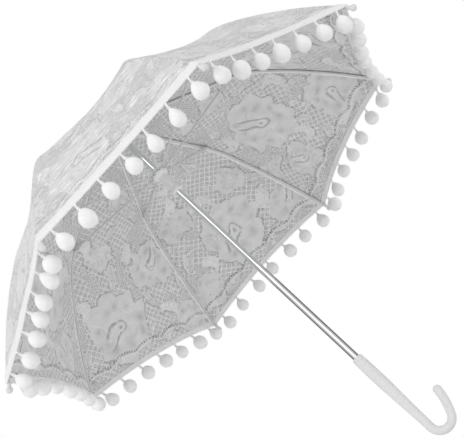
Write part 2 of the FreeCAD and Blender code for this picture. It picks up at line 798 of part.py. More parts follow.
def make_pom(top, drop):
    """A ball on a short stem that hangs from `top`, turned as one piece."""
    ball = SIZES["pom_radius"]
    stem = SIZES["stem_radius"]
    reach = drop.Length
    shoulder = reach - math.sqrt(ball * ball - stem * stem)
    side = Part.Arc(FreeCAD.Vector(stem, 0, -shoulder), FreeCAD.Vector(ball, 0, -reach),
                    FreeCAD.Vector(0, 0, -reach - ball))
    corners = [FreeCAD.Vector(0, 0, -reach - ball), FreeCAD.Vector(0, 0, 0),
               FreeCAD.Vector(stem, 0, 0), FreeCAD.Vector(stem, 0, -shoulder)]
    edges = [Part.makeLine(a, b) for a, b in zip(corners, corners[1:])]
    profile = Part.Face(Part.Wire(edges + [side.toShape()]))
    pom = profile.revolve(FreeCAD.Vector(0, 0, 0), FreeCAD.Vector(0, 0, 1), 360)
    hang = FreeCAD.Rotation(FreeCAD.Vector(0, 0, -1), drop)
    pom.Placement = FreeCAD.Placement(top, hang)
    return pom


def make_pompom_trim(number):
    """Braid tape sewn round the hem, with pom-poms hanging from its lower edge."""
    base = SIZES["lace_lift"] + SIZES["lace_thickness"] + SIZES["tape_gap"]
    lower = tape_line(base)
    upper = tape_line(base + SIZES["tape_thickness"])
    solids = [sheet_solid(lower, upper)]
    edge = tape_line(base + SIZES["tape_thickness"] / 2)[-1]
    corner = across(edge, 0)
    for side in (-1, 1):
        far = across(edge, side)
        for share in pom_shares(side):
            top = corner + (far - corner) * share
            if share == 1.0:
                top -= FreeCAD.Vector(0, SIZES["stem_radius"] + 0.2, 0)
            radius = math.hypot(top.x, top.y)
            inward = FreeCAD.Vector(-top.x / radius, -top.y / radius, 0)
            drop = inward * SIZES["pom_inset"] - FreeCAD.Vector(0, 0, SIZES["pom_drop"])
            solids.append(make_pom(top, drop))
    trim = solids[0].multiFuse(solids[1:])
    return add_shape("pompom_trim_%d" % number, trim, number)


# ---------------------------------------------------------------- the whole parasol

RUNNER_FOOT = RUNNER_HEIGHT - SIZES["runner_length"]
PIN_HEIGHT = RUNNER_HEIGHT + SIZES["notch_skirt"] + SIZES["pin_radius"] + 0.3
FOLD_TURN = math.radians(53.5)
CLOSED_SLOPE = OPEN_SLOPE + FOLD_TURN
RUNNER_TRAVEL = 2 * SIZES["link_length"] * (math.sin(CLOSED_SLOPE) - math.sin(OPEN_SLOPE))
OPEN_CATCH_FOOT = RUNNER_FOOT - SIZES["spring_gap"] - SIZES["spring_length"]
CLOSED_CATCH_FOOT = RUNNER_FOOT - RUNNER_TRAVEL + SIZES["window_rise"] + SIZES["catch_play"]
CATCH_FEET = (OPEN_CATCH_FOOT, CLOSED_CATCH_FOOT)

make_shaft()
make_handle()
make_top_notch()
make_tie_wire("top_notch_wire", SIZES["hub_height"])
make_canopy_cap()
make_ferrule()
make_stop_pin()
make_catch("top_spring", OPEN_CATCH_FOOT, True)
make_catch("bottom_spring", CLOSED_CATCH_FOOT, False)
make_runner()
make_tie_wire("runner_wire", RUNNER_HEIGHT)
for rib_number in range(1, RIB_COUNT + 1):
    make_rib(rib_number)
    make_rivet(rib_number)
    make_rib_tip(rib_number)
    make_stretcher(rib_number)
    make_lace_panel(rib_number)
    make_pompom_trim(rib_number)

doc.recompute()
for item in doc.Objects:
    if "Invalid" in item.State or "Error" in item.State:
        raise RuntimeError("%s failed: %s" % (item.Name, item.State))
for item in NODES:
    if item.Shape.isNull() or not item.Shape.isValid() or not item.Shape.Solids:
        raise RuntimeError("%s has no valid solid" % item.Label)

os.makedirs("parts", exist_ok=True)
for item in NODES:
    item.Shape.exportStep("parts/%s.step" % item.Label)
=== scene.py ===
import json
import math
import random

import bpy
import numpy as np
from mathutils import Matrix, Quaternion, Vector


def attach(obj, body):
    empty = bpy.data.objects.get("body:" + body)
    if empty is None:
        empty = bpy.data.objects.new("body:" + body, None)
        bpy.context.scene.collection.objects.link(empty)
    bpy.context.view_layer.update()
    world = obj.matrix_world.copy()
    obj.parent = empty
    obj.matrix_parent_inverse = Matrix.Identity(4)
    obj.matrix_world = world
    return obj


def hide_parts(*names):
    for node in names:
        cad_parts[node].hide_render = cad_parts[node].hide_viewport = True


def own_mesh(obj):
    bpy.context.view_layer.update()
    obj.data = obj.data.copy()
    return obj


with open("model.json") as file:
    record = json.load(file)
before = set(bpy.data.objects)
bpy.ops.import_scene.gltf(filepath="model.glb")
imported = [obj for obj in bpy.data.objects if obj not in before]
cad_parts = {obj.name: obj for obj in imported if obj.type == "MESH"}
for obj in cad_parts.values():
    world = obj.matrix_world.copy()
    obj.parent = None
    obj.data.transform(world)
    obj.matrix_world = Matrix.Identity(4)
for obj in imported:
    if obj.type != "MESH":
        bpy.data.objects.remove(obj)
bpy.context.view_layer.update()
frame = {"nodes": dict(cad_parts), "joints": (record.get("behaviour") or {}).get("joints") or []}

joints = {joint["name"]: joint for joint in frame["joints"]}

# ---------------------------------------------------------------- sizes
SIDES = 8
HALF = math.pi / SIDES              # half the angle between two ribs
BEND_RADIUS = 0.070                 # the short bend outside the elbow
BEND_TURN = math.radians(25.3)
SWEEP_RADIUS = 0.416                # the long sweep out to the rim
SWEEP_TURN = math.radians(14.0)
FULL_RADIUS = 0.200                 # shaft axis to a rib corner
FREE_RADIUS = 0.100                 # the cloth bows between the ribs outside this
HEM_DIP = 0.0070
HEM_LIFT = 0.0028
SAG = 0.0050                        # how far the cloth sags between two ribs, half-way out
SAG_START = 0.020
CLOTH_LIFT = 0.00145                # inner face of the lace above the rib's centre line
CLOTH_THICK = 0.00050
HEM_BACK = 0.0020                   # the lace ends this far inside the braid's fold
NET_PITCH = 0.0047
BORDER_PITCH = 0.031                # the row of holes along the hem: one scallop,
BORDER_RISE = 0.0042                # how deep it is
BORDER_INSET = 0.0125               # and how far the row lies from the hem

hub = Vector(joints["rib_1_fold"]["pos_m"])
elbow = Vector(joints["stretcher_1_fold"]["pos_m"])
HUB_RADIUS = math.hypot(hub.x, hub.y)
HUB_HEIGHT = hub.z
ELBOW_RADIUS = math.hypot(elbow.x, elbow.y)
LINK = math.hypot(ELBOW_RADIUS - HUB_RADIUS, hub.z - elbow.z)
SLOPE = math.atan2(hub.z - elbow.z, ELBOW_RADIUS - HUB_RADIUS)
FULL_RUN = LINK + BEND_RADIUS * BEND_TURN + SWEEP_RADIUS * SWEEP_TURN
SAG_LEAN = SLOPE + 0.5 * (BEND_TURN + SWEEP_TURN)


def azimuth(rib):
    """The direction of a rib about the shaft, seen from above."""
    x, y, _ = joints[f"rib_{rib}_fold"]["pos_m"]
    return math.atan2(y, x)


def rib_line(run):
    """Radius, height and fall below the horizontal of the rib's centre line, that far from its pivot."""
    run = np.asarray(run, float)
    bend = np.clip((run - LINK) / BEND_RADIUS, 0, BEND_TURN)
    sweep = np.maximum(run - LINK - BEND_RADIUS * BEND_TURN, 0) / SWEEP_RADIUS
    fall = SLOPE + bend + sweep
    straight = np.minimum(run, LINK)
    knee = SLOPE + BEND_TURN
    out = np.where(sweep > 0, np.sin(fall) - math.sin(knee), 0)
    down = np.where(sweep > 0, math.cos(knee) - np.cos(fall), 0)
    radius = (HUB_RADIUS + straight * math.cos(SLOPE)
              + BEND_RADIUS * (np.sin(SLOPE + bend) - math.sin(SLOPE)) + SWEEP_RADIUS * out)
    height = (HUB_HEIGHT - straight * math.sin(SLOPE)
              - BEND_RADIUS * (math.cos(SLOPE) - np.cos(SLOPE + bend)) - SWEEP_RADIUS * down)
    return radius, height, fall


def smooth(value, low, high):
    """0 below low, 1 above high and a soft step between them."""
    share = np.clip((value - low) / (high - low), 0, 1)
    return share * share * (3 - 2 * share)


def puckers(gore, run, across):
    """Small tension folds of one gore, in metres; across is -1 on its first rib and 1 on the next."""
    chance = random.Random(40 + gore)
    total = np.zeros_like(run + across)
    for k in range(5):
        reach = chance.uniform(0.10, FULL_RUN)
        slant = chance.uniform(-0.05, 0.05)
        width = chance.uniform(0.010, 0.024)
        height = chance.uniform(-0.0009, 0.0009)
        ridge = np.exp(-((run - reach - slant * across) / width) ** 2)
        total += height * ridge * (1 - across ** 4)
    seam = np.exp(-(1 - np.abs(across)) * 7)
    wave = np.sin(run * 640 + gore) * 0.6 + np.sin(run * 395 + 2.0 * gore) * 0.4
    total += 0.00028 * seam * wave * (1 - across ** 8)
    return total * smooth(run, 0.03, 0.08)


def canopy(rib, run, part, lift):
    """Points of the canopy; part is 0 on the rib and 1 or -1 at the middle of the gore on each side."""
    radius, height, fall = rib_line(run)
    side = np.where(part < 0, -1.0, 1.0)
    across = 1 - np.abs(part)
    share = np.clip((radius - FREE_RADIUS) / (FULL_RADIUS - FREE_RADIUS), 0, None) ** 2
    bow = share * (1 - across ** 2)
    reach = np.clip((radius - SAG_START) / (FULL_RADIUS - SAG_START), 0, 1)
    sag = SAG * np.sin(math.pi * reach) ** 2 * (1 - across ** 2)
    gore = np.where(part < 0, (rib + SIDES - 2) % SIDES + 1, rib)
    fold = np.zeros_like(run + part)
    for g in (rib, (rib + SIDES - 2) % SIDES + 1):
        fold += np.where(gore == g, puckers(g, run, -side * across), 0)
    lift = lift + fold
    radius = radius + lift * np.sin(fall)
    height = height + lift * np.cos(fall)
    middle = azimuth(rib) + side * HALF
    out = radius * math.cos(HALF) - HEM_DIP * bow - sag * math.sin(SAG_LEAN)
    along = -side * across * radius * math.sin(HALF)
    return np.stack([out * np.cos(middle) - along * np.sin(middle),
                     out * np.sin(middle) + along * np.cos(middle),
                     height + HEM_LIFT * bow - sag * math.cos(SAG_LEAN)], -1)


# ---------------------------------------------------------------- the lace's drawing
HEM_LOOPS = 13                      # small rings along a gore's hem
LOOP_STEP = 0.0112
NOWHERE = 0.02                      # a distance that stands for no motif near
PETALS = 9
EYE_SIZE = 0.019                    # roses from this radius up have a stitched eye


class Drawing:
    """Distances, in metres, from every point of the cloth to what is drawn on it."""

    def __init__(self, u, v, seed):
        wander = (np.sin(210 * u + 150 * v + seed) + np.sin(-260 * u + 190 * v + 2.1 * seed),
                  np.sin(170 * u - 230 * v + 1.3 * seed) + np.sin(250 * u + 140 * v + 0.7 * seed))
        self.u = u + 0.0011 * wander[0]
        self.v = v + 0.0011 * wander[1]
        self.cloth = np.full_like(u, -NOWHERE)
        self.cord = np.full_like(u, NOWHERE)
        self.slit = np.full_like(u, -NOWHERE)
        self.shade = np.zeros_like(u)

    def polar(self, run, side, turn):
        """Distance from a point of the cloth and direction about it."""
        du = self.u - side
        dv = self.v - run
        return np.hypot(du, dv), np.arctan2(dv, du) + turn

    def blossom(self, run, side, size, turn):
        """A rose: a scalloped patch of solid cloth with soft hollows and a fold in painted shade, and an
        eye if it is large.
        """
        far, angle = self.polar(run, side, turn)
        chance = random.Random(int(1e5 * (run + 3 * side)))
        warp = 1 + 0.08 * np.sin(2 * angle + turn) + 0.05 * np.sin(3 * angle - 2 * turn)
        warp = warp + 0.035 * np.sin(13 * angle + 3 * turn)
        lobe = np.abs(np.cos(4.5 * angle + 0.5 * np.sin(angle))) ** 0.7
        inside = size * warp * (0.86 + 0.14 * lobe) - far
        self.cloth = np.maximum(self.cloth, inside)
        self.cord = np.minimum(self.cord, np.abs(inside) + 0.00045)
        # Painted shade: soft dark spots in the hollows between the petals, where the relief also dips.
        for k in range(PETALS):
            lean = turn + (k + 0.5 + chance.uniform(-0.25, 0.25)) * math.tau / PETALS
            reach = size * chance.uniform(0.50, 0.76)
            spot = np.hypot(self.u - side - reach * math.cos(lean),
                            self.v - run - reach * math.sin(lean))
            wide = size * chance.uniform(0.09, 0.14)
            hollow = chance.uniform(0.5, 1.0) * np.exp(-(spot / wide) ** 2) * (inside > 0)
            self.shade = np.maximum(self.shade, hollow)
        # Painted shade along a fold ring inside the rose.
        fold = np.abs(far - size * warp * (0.42 + 0.10 * np.abs(np.cos(2.5 * angle + 1))))
        crease = 0.42 * np.exp(-(fold / 0.0011) ** 2) * smooth(np.sin(3 * angle + turn), -0.2, 0.4)
        self.shade = np.maximum(self.shade, crease)
        self.cord = np.minimum(self.cord, np.abs(far - 0.12 * size) + 0.0002)
        self.slit = np.maximum(self.slit, 0.045 * size - far)
        if size >= EYE_SIZE:
            self.eye(run, side, size, turn, chance)

    def eye(self, run, side, size, turn, chance):
        """The stitched eye of a rose: an arc of stitches that ends in two tails, like a hairpin."""
        p = (self.u - side) * math.cos(turn) + (self.v - run) * math.sin(turn)
        q = -(self.u - side) * math.sin(turn) + (self.v - run) * math.cos(turn)
        dash = 0.55 + 0.60 * np.sin((self.u + self.v) * 3100)
        first, last = chance.uniform(-1.6, -1.3), chance.uniform(1.3, 1.6)
        way = np.arctan2(q, p)
        bow = np.abs(np.hypot(p, q) - 0.19 * size)
        arc = np.where((way > first) & (way < last), 0.032 * size * dash - bow, -NOWHERE)
        self.slit = np.maximum(self.slit, arc)
        tails = ((-0.17, chance.uniform(0.55, 0.85)), (0.17, chance.uniform(0.45, 0.80)))
        for across, reach in tails:
            middle = across * size + 0.16 * p + across * 0.5 * np.sin(p / size * 5) * size * 0.3
            taper = smooth(p / size, -reach, -reach + 0.2) * (1 - smooth(p / size, -0.06, 0.02))
            gap = np.where(taper > 0.02, 0.050 * size * dash * taper - np.abs(q - middle), -NOWHERE)
            self.slit = np.maximum(self.slit, gap)
            lip = np.where(taper > 0.02, np.abs(np.abs(q - middle) - 0.085 * size) + 0.0003, NOWHERE)
            self.cord = np.minimum(self.cord, lip)

    def leaf(self, run, side, turn, length):
        """A pointed leaf with a toothed edge, a vein and small holes beside it."""
        du = self.u - side
        dv = self.v - run
        p = (du * math.cos(turn) + dv * math.sin(turn)) / length
        q = -du * math.sin(turn) + dv * math.cos(turn) - 0.12 * length * (1 - p * p)
        tooth = 0.86 + 0.14 * np.abs(np.cos(9 * p))
        inside = 0.36 * length * np.clip(1 - p * p, -1, 1) * tooth - np.abs(q)
        inside = np.where(np.abs(p) > 1.15, -NOWHERE, inside)
        self.cloth = np.maximum(self.cloth, inside)
        self.cord = np.minimum(self.cord, np.abs(inside) + 0.0002)
        vein = np.where(np.abs(p) < 0.85, np.abs(q), NOWHERE)
        self.shade = np.maximum(self.shade, 0.7 * np.exp(-(vein / 0.0007) ** 2))
        dot = 0.06 * length - np.hypot(np.abs(q) - 0.15 * length, (np.abs(p) - 0.30) * length)
        self.slit = np.maximum(self.slit, dot)

    def stem(self, run, side, radius, turn, sweep):
        """A thin curved stalk: part of a circle about that point."""
        far, angle = self.polar(run, side, 0.0)
        off = np.abs(far - radius)
        self.cord = np.minimum(self.cord, np.where((angle - turn) % math.tau < sweep, off, NOWHERE))

    def loop(self, run, side, radius):
        """A small outlined ring with a dark middle."""
        far, _ = self.polar(run, side, 0.0)
        self.cord = np.minimum(self.cord, np.abs(far - radius))
        self.cloth = np.maximum(self.cloth, 0.0006 - np.abs(far - radius))
        self.slit = np.maximum(self.slit, 0.3 * radius - far)

    def bead_row(self, run, side, turn, length):
        """A curved sprig of small round leaves on both sides of a stalk."""
        for k in range(7):
            p = (k - 3) * length / 7
            q = 0.25 * length * (1 - (2 * p / length) ** 2)
            for offset in (-0.0026, 0.0026):
                u = side + p * math.cos(turn) - (q + offset) * math.sin(turn)
                v = run + p * math.sin(turn) + (q + offset) * math.cos(turn)
                far = np.hypot(self.u - u, self.v - v)
                self.cloth = np.maximum(self.cloth, 0.0021 - far)
                self.cord = np.minimum(self.cord, np.abs(far - 0.0021) + 0.0002)


# Per layout: roses as (run, side, size, turn), then leaves and sprigs as (run, side, turn, length).
LAYOUTS = (
    (((0.152, 0.003, 0.033, 1.8), (0.206, 0.030, 0.020, 1.9), (0.203, -0.050, 0.026, 3.9),
      (0.094, -0.016, 0.012, 0.9), (0.181, 0.062, 0.013, 0.2)),
     ((0.108, 0.022, 0.9, 0.013), (0.121, -0.030, 2.3, 0.012), (0.180, 0.044, 0.5, 0.012),
      (0.219, -0.008, 1.3, 0.013), (0.168, -0.046, 2.6, 0.012), (0.066, 0.010, 1.2, 0.010),
      (0.226, 0.062, 0.2, 0.010), (0.190, -0.014, 2.1, 0.010)),
     ((0.128, 0.038, 0.4, 0.022), (0.196, 0.002, 1.1, 0.020), (0.150, -0.040, 1.9, 0.022),
      (0.080, 0.014, 2.4, 0.016), (0.222, -0.030, 0.1, 0.018))),
    (((0.190, -0.002, 0.033, 3.8), (0.140, 0.030, 0.017, 0.2), (0.214, 0.056, 0.018, 2.2),
      (0.210, -0.058, 0.021, 0.7), (0.082, 0.004, 0.011, 2.0), (0.150, -0.034, 0.014, 1.0)),
     ((0.124, 0.004, 1.0, 0.013), (0.168, -0.050, 2.2, 0.012), (0.176, 0.048, 0.7, 0.012),
      (0.108, -0.018, 1.9, 0.011), (0.226, 0.034, 0.3, 0.011), (0.060, -0.008, 1.5, 0.010),
      (0.226, -0.034, 2.8, 0.011)),
     ((0.146, 0.002, 2.6, 0.022), (0.186, -0.040, 0.6, 0.020), (0.120, 0.024, 1.2, 0.018),
      (0.198, 0.036, 1.8, 0.016), (0.100, 0.012, 0.3, 0.014))),
    (((0.196, 0.022, 0.034, 3.5), (0.156, -0.032, 0.024, 0.8), (0.222, -0.054, 0.017, 1.4),
      (0.124, 0.020, 0.014, 2.9), (0.074, -0.006, 0.011, 0.3)),
     ((0.148, 0.014, 1.2, 0.013), (0.186, -0.018, 2.0, 0.012), (0.206, 0.066, 0.9, 0.011),
      (0.100, -0.022, 2.4, 0.012), (0.224, -0.020, 0.2, 0.012), (0.104, 0.004, 0.8, 0.010),
      (0.182, -0.058, 1.5, 0.010)),
     ((0.206, -0.034, 2.9, 0.020), (0.132, -0.008, 0.9, 0.018), (0.166, 0.052, 1.4, 0.018),
      (0.112, 0.034, 2.2, 0.014))),
)


def draw_gore(drawing, gore):
    """Three layouts of the same cloth take turns round the canopy, some of them turned over."""
    blossoms, leaves, sprigs = LAYOUTS[(gore - 2) % 3]
    flip = 1 if gore in (2, 3, 4, 8) else -1
    for run, side, size, turn in blossoms:
        drawing.blossom(run, side * flip, size, turn)
        drawing.stem(run + 0.4 * size, (side + 1.25 * size) * flip, size, turn, 1.2)
    for run, side, turn, length in leaves:
        drawing.leaf(run, side * flip, turn * flip, length)
    for run, side, turn, length in sprigs:
        drawing.bead_row(run, side * flip, turn * flip, length)
    for k in range(HEM_LOOPS):
        drawing.loop(FULL_RUN - 0.0150 + 0.0022 * math.sin(5 * k),
                     (k - (HEM_LOOPS - 1) / 2) * LOOP_STEP, 0.0022 + 0.0008 * math.sin(3 * k))


# ---------------------------------------------------------------- mesh helpers
def grid_faces(rows, columns, first=0, turned=False):
    """Quads over rows x columns points, numbered row by row."""
    a = np.arange(rows * columns).reshape(rows, columns) + first
    quads = np.stack([a[:-1, :-1], a[:-1, 1:], a[1:, 1:], a[1:, :-1]], -1).reshape(-1, 4)
    return quads[:, ::-1] if turned else quads


def new_object(name, points, faces, materials, slots=None, rimmed=False):
    """A smooth-shaded mesh object; faces is a list of arrays of faces, and slots the material of each.

    If it is rimmed, the last array is the rim, whose edges stay sharp.
    """
    mesh = bpy.data.meshes.new(name)
    everything = [face for group in faces for face in group.tolist()]
    mesh.from_pydata(points.tolist(), [], everything)
    for material in materials:
        mesh.materials.append(material)
    if slots is not None:
        index = np.concatenate([np.full(len(group), s) for group, s in zip(faces, slots)])
        mesh.polygons.foreach_set("material_index", index.astype(np.int32))
    mesh.polygons.foreach_set("use_smooth", np.ones(len(mesh.polygons), bool))
    if rimmed:
        edge_of_corner = np.zeros(len(mesh.loops), np.int32)
        mesh.loops.foreach_get("edge_index", edge_of_corner)
        sharp = np.zeros(len(mesh.edges), bool)
        sharp[edge_of_corner[-faces[-1].size:]] = True
        mesh.edges.foreach_set("use_edge_sharp", sharp)
    mesh.update()
    made = bpy.data.objects.new(name, mesh)
    bpy.context.scene.collection.objects.link(made)
    return made


def point_values(obj, name, values):
    """Stores one number per vertex, for the material to read."""
    layer = obj.data.attributes.new(name, "FLOAT", "POINT")
    layer.data.foreach_set("value", values.astype(np.float32).ravel())


def set_uv(obj, uv):
    """uv holds one pair per vertex."""
    layer = obj.data.uv_layers.new(name="UVMap")
    corners = np.zeros(len(obj.data.loops), np.int32)
    obj.data.loops.foreach_get("vertex_index", corners)
    layer.data.foreach_set("uv", uv[corners].astype(np.float32).ravel())


# ---------------------------------------------------------------- materials
class Nodes:
    """Short names for building one material's node tree."""

    def __init__(self, name):
        self.material = bpy.data.materials.new(name)
        self.material.use_nodes = True
        self.tree = self.material.node_tree
        self.shader = self.tree.nodes["Principled BSDF"]

    def add(self, kind, **settings):
        node = self.tree.nodes.new(kind)
        for key, value in settings.items():
            setattr(node, key, value)
        return node

    def feed(self, socket, value):
        if isinstance(value, bpy.types.NodeSocket):
            self.tree.links.new(value, socket)
        else:
            socket.default_value = value

    def math(self, operation, a, b=0.0, c=0.0):
        node = self.add("ShaderNodeMath", operation=operation)
        for socket, value in zip(node.inputs, (a, b, c)):
            self.feed(socket, value)
        return node.outputs[0]

    def times(self, a, b):
        return self.math("MULTIPLY", a, b)

    def plus(self, a, b):
        return self.math("ADD", a, b)

    def most(self, a, b):
        return self.math("MAXIMUM", a, b)

    def opposite(self, value):
        """1 less the value."""
        return self.math("SUBTRACT", 1.0, value)

    def absolute(self, value):
        return self.math("ABSOLUTE", value)

    def wave(self, value, pitch):
        return self.math("SINE", self.times(value, math.tau / pitch))

    def step(self, value, low, high):
        node = self.add("ShaderNodeMapRange", interpolation_type="SMOOTHSTEP")
        self.feed(node.inputs["Value"], value)
        node.inputs["From Min"].default_value = low
        node.inputs["From Max"].default_value = high
        return node.outputs["Result"]

    def mix(self, share, a, b):
        node = self.add("ShaderNodeMix", data_type="RGBA")
        self.feed(node.inputs["Factor"], share)
        for socket, value in ((node.inputs["A"], a), (node.inputs["B"], b)):
            self.feed(socket, value)
        return [s for s in node.outputs if s.type == "RGBA"][0]

    def attribute(self, name):
        return self.add("ShaderNodeAttribute", attribute_name=name).outputs["Fac"]

    def noise(self, scale, detail=2.0, stretch=None):
        where = self.add("ShaderNodeTexCoord").outputs["Object"]
        if stretch is not None:
            mapping = self.add("ShaderNodeMapping")
            self.tree.links.new(where, mapping.inputs["Vector"])
            mapping.inputs["Scale"].default_value = stretch
            where = mapping.outputs["Vector"]
        node = self.add("ShaderNodeTexNoise")
        self.tree.links.new(where, node.inputs["Vector"])
        node.inputs["Scale"].default_value = scale
        node.inputs["Detail"].default_value = detail
        return node.outputs["Fac"]

    def bump(self, height, depth):
        node = self.add("ShaderNodeBump")
        self.tree.links.new(height, node.inputs["Height"])
        node.inputs["Distance"].default_value = depth
        node.inputs["Strength"].default_value = 1.0
        self.tree.links.new(node.outputs["Normal"], self.shader.inputs["Normal"])

    def set(self, **values):
        for key, value in values.items():
            self.feed(self.shader.inputs[key.replace("_", " ")], value)


def grey(level, warm=0.0):
    """A near-neutral colour, a little warmer or cooler."""
    return (level * (1 + warm), level, level * (1 - warm), 1.0)


def lace_material(name, thread, hole, cloth, depth, contrast, streaks):
    """Net, solid motifs and cord outlines; thread, hole and cloth are brightnesses.

    The lace is solid, so hole is a painted shade: its holes, slits and the open mesh round the motifs
    are painted that dark for the shade seen through them, and contrast scales these painted shade marks.
    """
    m = Nodes(name)
    uv = m.add("ShaderNodeUVMap", uv_map="UVMap").outputs["UV"]
    wander = m.add("ShaderNodeTexNoise")
    wander.inputs["Scale"].default_value = 70.0
    wander.inputs["Detail"].default_value = 1.0
    m.tree.links.new(uv, wander.inputs["Vector"])
    shift = m.add("ShaderNodeVectorMath", operation="MULTIPLY_ADD")
    m.tree.links.new(wander.outputs["Color"], shift.inputs[0])
    shift.inputs[1].default_value = (0.0022, 0.0022, 0.0)
    m.tree.links.new(uv, shift.inputs[2])
    split = m.add("ShaderNodeSeparateXYZ")
    m.tree.links.new(shift.outputs["Vector"], split.inputs[0])
    u, v = split.outputs["X"], split.outputs["Y"]
    slant = math.sqrt(0.5) / NET_PITCH
    first = m.times(m.plus(u, v), slant)
    second = m.times(m.math("SUBTRACT", u, v), slant)

    def from_line(coordinate, times):
        """0 on a thread line and 0.5 halfway between two."""
        turned = m.math("FRACT", m.times(coordinate, times))
        return m.math("SUBTRACT", 0.5, m.absolute(m.math("SUBTRACT", turned, 0.5)))

    def threads(times, width, soft):
        """1 on the threads of a square net."""
        nearest = m.math("MINIMUM", from_line(first, times), from_line(second, times))
        return m.opposite(m.step(nearest, width - soft, width + soft))

    lattice = threads(1.0, 0.115, 0.045)
    middle = m.math("MINIMUM", from_line(first, 1.0), from_line(second, 1.0))
    diamond = m.opposite(m.step(m.absolute(m.math("SUBTRACT", middle, 0.31)), 0.05, 0.10))
    cells = m.add("ShaderNodeTexVoronoi", feature="DISTANCE_TO_EDGE")
    m.tree.links.new(uv, cells.inputs["Vector"])
    cells.inputs["Scale"].default_value = 480.0
    cells.inputs["Randomness"].default_value = 0.35
    mesh = m.opposite(m.step(cells.outputs["Distance"], 0.10, 0.26))
    patches = m.step(m.noise(34.0, 1.0), 0.55, 0.59)
    square = m.most(lattice, m.times(diamond, 0.36))
    plain = m.times(mesh, 0.80)
    net = m.plus(m.times(square, m.opposite(patches)), m.times(plain, patches))
    net = m.most(net, m.times(mesh, 0.30))
    solid = m.step(m.attribute("cloth"), -0.0003, 0.0004)
    cord = m.opposite(m.step(m.attribute("cord"), 0.00035, 0.00085))
    cord = m.times(cord, 0.62)
    scallop = m.absolute(m.math("SINE", m.times(u, math.pi / BORDER_PITCH)))
    row = m.plus(v, m.math("MULTIPLY_ADD", scallop, BORDER_RISE, BORDER_INSET - FULL_RUN))
    stitch = m.step(m.wave(u, 0.0026), -0.5, 0.2)
    holes = m.opposite(m.step(m.absolute(row), 0.0009, 0.0016))
    border = m.opposite(m.step(m.absolute(m.math("SUBTRACT", row, 0.0027)), 0.0004, 0.0010))
    cord = m.most(cord, m.times(border, 0.6))
    hatched = m.step(m.wave(m.plus(u, v), 0.0019), -0.9, 0.5)
    slit = m.step(m.attribute("slit"), -0.0005, 0.0004)
    slit = m.times(slit, m.math("MULTIPLY_ADD", hatched, 0.6, 0.4))
    slit = m.most(slit, m.times(holes, stitch))
    path = m.add("ShaderNodeTexNoise")
    path.inputs["Scale"].default_value = 62.0
    path.inputs["Detail"].default_value = 1.0
    m.tree.links.new(uv, path.inputs["Vector"])
    wind = m.absolute(m.math("SUBTRACT", m.math("FRACT", m.times(path.outputs["Fac"], 10.0)), 0.5))
    vine = m.opposite(m.step(wind, 0.05, 0.13))
    vine = m.times(vine, m.math("SUBTRACT", 0.72, m.times(solid, 0.54)))
    edge = m.times(m.step(m.attribute("cloth"), -0.0026, -0.0006), m.opposite(solid))
    satin = m.noise(520.0, 2.0)
    hatch = m.noise(110.0, 3.0)
    band = m.attribute("band")
    shade = m.times(m.attribute("shade"), contrast)

    fuzz = m.noise(700.0, 2.0)
    # Painted shade: the net's holes take the dark hole tone, with a little random fuzz.
    shaded_hole = m.mix(m.step(fuzz, 0.35, 0.65), grey(hole * 0.90), grey(hole * 1.10))
    ground = m.mix(net, shaded_hole, grey(thread))
    broken = m.step(m.noise(75.0, 1.0), 0.44, 0.54)
    # Painted shadow: the open mesh just outside the motifs is painted darker, broken and hatched.
    edge_shade = m.times(m.times(edge, broken), hatched)
    ground = m.mix(m.times(edge_shade, 0.9 * contrast), ground, grey(hole * 0.52))
    petals = m.mix(m.step(hatch, 0.35, 0.65), grey(cloth * 1.03), grey(cloth * 0.95))
    # Painted shade in the petals' hollows and along their fold.
    petals = m.mix(shade, petals, grey(hole * 1.06))
    colour = m.mix(solid, ground, petals)
    # Painted shade in the open slits of the eyes, leaves and hem row.
    colour = m.mix(m.times(slit, 0.85 * contrast), colour, grey(hole * 0.58))
    colour = m.mix(vine, colour, grey(thread))
    colour = m.mix(cord, colour, grey(thread * 1.02))
    colour = m.mix(band, colour, grey(thread * 1.04))
    pulled = m.add("ShaderNodeMapping")
    pulled.inputs["Scale"].default_value = (85.0, 640.0, 1.0)
    m.tree.links.new(uv, pulled.inputs["Vector"])
    ridges = m.add("ShaderNodeTexNoise")
    ridges.inputs["Scale"].default_value = 1.0
    ridges.inputs["Detail"].default_value = 2.0
    m.tree.links.new(pulled.outputs["Vector"], ridges.inputs["Vector"])
    streak = m.step(ridges.outputs["Fac"], 0.36, 0.62)
    # Painted shade: the low ground between the pulled ridges is painted towards the hole tone.
    colour = m.mix(m.times(m.opposite(streak), streaks), colour, grey(hole))
    m.set(Base_Color=colour)
    m.set(Roughness=m.plus(0.72, m.times(satin, 0.2)))
    m.set(Specular_IOR_Level=0.25, Sheen_Weight=0.15)
    height = m.most(m.times(net, 0.8), m.times(solid, 0.75))
    height = m.most(height, m.most(cord, vine))
    height = m.most(height, m.times(band, 0.8))
    height = m.math("SUBTRACT", height, m.times(slit, 0.7))
    height = m.math("SUBTRACT", height, m.times(shade, 0.4))
    height = m.plus(height, m.times(satin, 0.25))
    height = m.plus(height, m.times(streak, streaks))
    m.bump(height, depth)
    return m.material


def braid_material():
    """Flat white braid: two sets of slanting plaits, with painted shade between them."""
    m = Nodes("hem_braid")
    uv = m.add("ShaderNodeUVMap", uv_map="UVMap").outputs["UV"]
    split = m.add("ShaderNodeSeparateXYZ")
    m.tree.links.new(uv, split.inputs[0])
    u, v = split.outputs["X"], split.outputs["Y"]
    fold = m.math("PINGPONG", v, 0.0020)
    plait = m.wave(m.plus(u, fold), 0.0018)
    rows = m.wave(v, 0.0020)
    fluff = m.noise(900.0, 2.0)
    height = m.plus(m.times(plait, 0.35), m.times(rows, 0.2))
    height = m.plus(height, fluff)
    # Painted shade: the low parts of the plait are painted darker, mixed with random fluff tone.
    m.set(Base_Color=m.mix(m.step(height, -0.2, 0.9), grey(0.84), grey(0.97)))
    m.set(Roughness=m.plus(0.70, m.times(fluff, 0.2)))
    m.set(Specular_IOR_Level=0.25, Sheen_Weight=0.2)
    m.bump(height, 0.00040)
    return m.material


